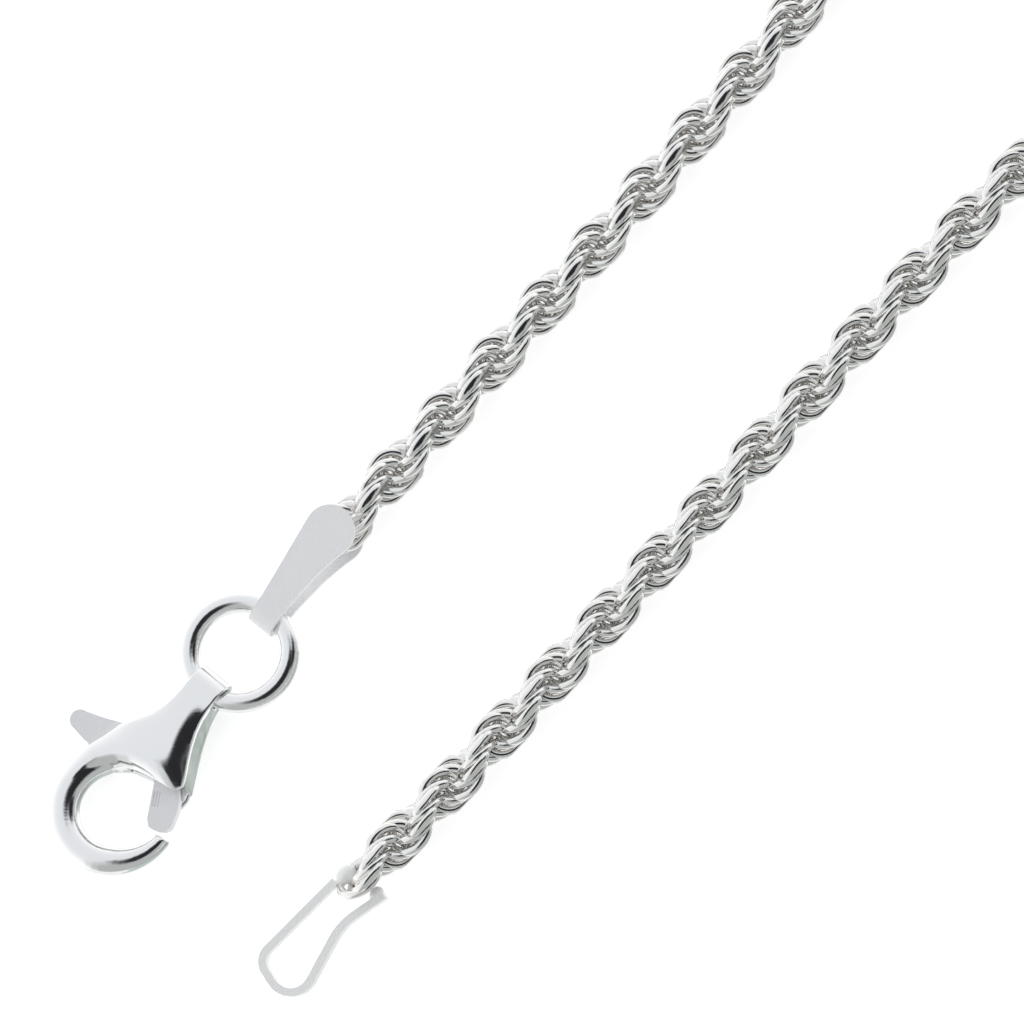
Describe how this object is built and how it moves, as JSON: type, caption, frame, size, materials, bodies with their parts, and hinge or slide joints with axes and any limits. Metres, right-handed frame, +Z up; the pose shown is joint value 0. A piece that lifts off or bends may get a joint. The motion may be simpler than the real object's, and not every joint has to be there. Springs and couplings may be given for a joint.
{
  "type": "chain necklace",
  "caption": "Fine silver rope-chain necklace with a lobster clasp, jump ring, folded end tag and soldered wire end loop, spare chain wound in a flat coil",
  "frame": {"origin": "on the supporting surface, at the middle of the box round the clasp, jump ring, end tag and end loop", "axes": "+Z up from the surface the necklace lies on; both strands of chain lead away at 48.3 degrees from +X towards +Y, and the clasp points back along them"},
  "size_m": [0.071, 0.0748, 0.0047],
  "materials": {
    "silver_polished": "polished sterling silver, rhodium plated",
    "silver_satin": "tumbled sterling silver, flat faces left satin",
    "silver_chain": "polished sterling silver, diamond-cut rope links",
    "spring_steel": "bright stainless spring wire"
  },
  "bodies": {
    "chain": {"chain_clasp_side": "silver_chain", "chain_loop_side": "silver_chain", "chain_coil": "silver_chain", "first_link": "silver_chain", "second_link": "silver_chain", "last_link": "silver_chain", "link_before_last": "silver_chain", "end_tag": "silver_satin", "tag_solder": "silver_satin", "end_loop": "silver_satin", "loop_solder_left": "silver_satin", "loop_solder_right": "silver_satin"},
    "ring": {"jump_ring": "silver_polished"},
    "clasp": {"clasp_body": "silver_polished", "clasp_pin": "silver_polished", "clasp_spring": "spring_steel"},
    "lever": {"clasp_lever": "silver_satin"}
  },
  "joints": [
    {"name": "ring_turn", "type": "hinge", "parent": "chain", "child": "ring", "pos_m": [0.00088, 0.00455, 0.0009], "axis": [0, 0, 1], "range_deg": [-110, 45]},
    {"name": "clasp_lift", "type": "hinge", "parent": "ring", "child": "clasp", "pos_m": [-0.00059, 0.00272, 0.0009], "axis": [-0.7804, 0.6252, 0], "range_deg": [0, 110]},
    {"name": "lever_hinge", "type": "hinge", "parent": "clasp", "child": "lever", "pos_m": [-0.0031, 0.00023, 0.00077], "axis": [0, 0, -1], "range_deg": [0, 45], "stiffness_Nm_per_rad": 0.0005, "springref_deg": -28.65}
  ]
}
